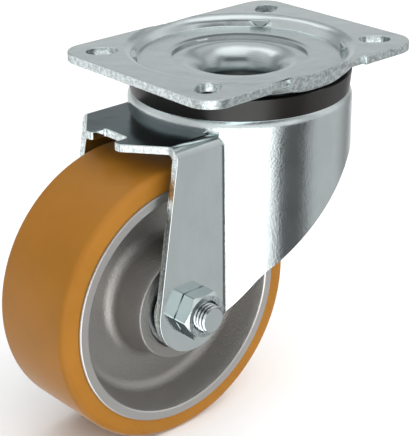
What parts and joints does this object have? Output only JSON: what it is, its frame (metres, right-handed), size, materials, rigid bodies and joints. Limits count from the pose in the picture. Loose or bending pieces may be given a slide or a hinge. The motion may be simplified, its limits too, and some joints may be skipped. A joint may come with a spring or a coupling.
{
  "type": "swivel castor",
  "caption": "Swivel castor with a pressed steel top plate, deep-drawn fork, double ball swivel bearing and a ball-bearing wheel with an elastomer tread.",
  "frame": {"origin": "on the swivel axis in the top plate's mounting face", "axes": "+Z out of the mounting face along the swivel axis, the wheel trails towards -X and its axle lies along Y with the nut on the -Y side"},
  "size_m": [0.2025, 0.111, 0.18],
  "materials": {
    "zinc_plate": "bright zinc plated pressed steel",
    "zinc_fork": "bright zinc plated drawn steel",
    "zinc_bolt": "zinc plated",
    "zinc_nut": "zinc plated",
    "zinc_tube": "zinc plated tube",
    "race_steel": "hardened steel",
    "ball_steel": "polished hardened steel",
    "bearing_steel": "ground bearing steel",
    "cage_steel": "pressed steel",
    "seal_rubber": "moulded rubber seal",
    "dust_ring_black": "moulded black plastic",
    "cast_centre": "cast, shot-blasted, machined at the rim",
    "tread_ochre": "cast polyurethane, ochre"
  },
  "bodies": {
    "plate": {"mounting_plate": "zinc_plate", "lower_race": "race_steel", "dust_ring": "dust_ring_black"},
    "upper_row": {"upper_balls": "ball_steel"},
    "lower_row": {"lower_balls": "ball_steel"},
    "fork": {"fork": "zinc_fork", "axle_bolt": "zinc_bolt", "axle_nut": "zinc_nut", "axle_tube": "zinc_tube", "bearing_spacer": "zinc_tube", "near_spacer": "zinc_tube", "far_spacer": "zinc_tube", "near_bearing_inner_ring": "bearing_steel", "far_bearing_inner_ring": "bearing_steel"},
    "wheel": {"wheel_centre": "cast_centre", "tread": "tread_ochre", "near_bearing_outer_ring": "bearing_steel", "far_bearing_outer_ring": "bearing_steel", "near_bearing_seals": "seal_rubber", "far_bearing_seals": "seal_rubber"},
    "near_bearing_set": {"near_bearing_balls": "ball_steel", "near_bearing_cage": "cage_steel"},
    "far_bearing_set": {"far_bearing_balls": "ball_steel", "far_bearing_cage": "cage_steel"}
  },
  "joints": [
    {"name": "swivel", "type": "hinge", "parent": "plate", "child": "fork", "pos_m": [0, 0, 0], "axis": [0, 0, 1], "continuous": true},
    {"name": "wheel_spin", "type": "hinge", "parent": "fork", "child": "wheel", "pos_m": [-0.0625, 0, -0.11], "axis": [0, 1, 0], "continuous": true},
    {"name": "upper_row_turn", "type": "hinge", "parent": "plate", "child": "upper_row", "pos_m": [0, 0, 0], "axis": [0, 0, 1], "continuous": true},
    {"name": "lower_row_turn", "type": "hinge", "parent": "plate", "child": "lower_row", "pos_m": [0, 0, 0], "axis": [0, 0, 1], "continuous": true},
    {"name": "near_bearing_turn", "type": "hinge", "parent": "fork", "child": "near_bearing_set", "pos_m": [-0.0625, 0, -0.11], "axis": [0, 1, 0], "continuous": true},
    {"name": "far_bearing_turn", "type": "hinge", "parent": "fork", "child": "far_bearing_set", "pos_m": [-0.0625, 0, -0.11], "axis": [0, 1, 0], "continuous": true}
  ],
  "couplings": [
    {"joint": "upper_row_turn", "follows": "swivel", "ratio": 0.5},
    {"joint": "lower_row_turn", "follows": "swivel", "ratio": 0.5},
    {"joint": "near_bearing_turn", "follows": "wheel_spin", "ratio": 0.6024},
    {"joint": "far_bearing_turn", "follows": "wheel_spin", "ratio": 0.6024}
  ]
}
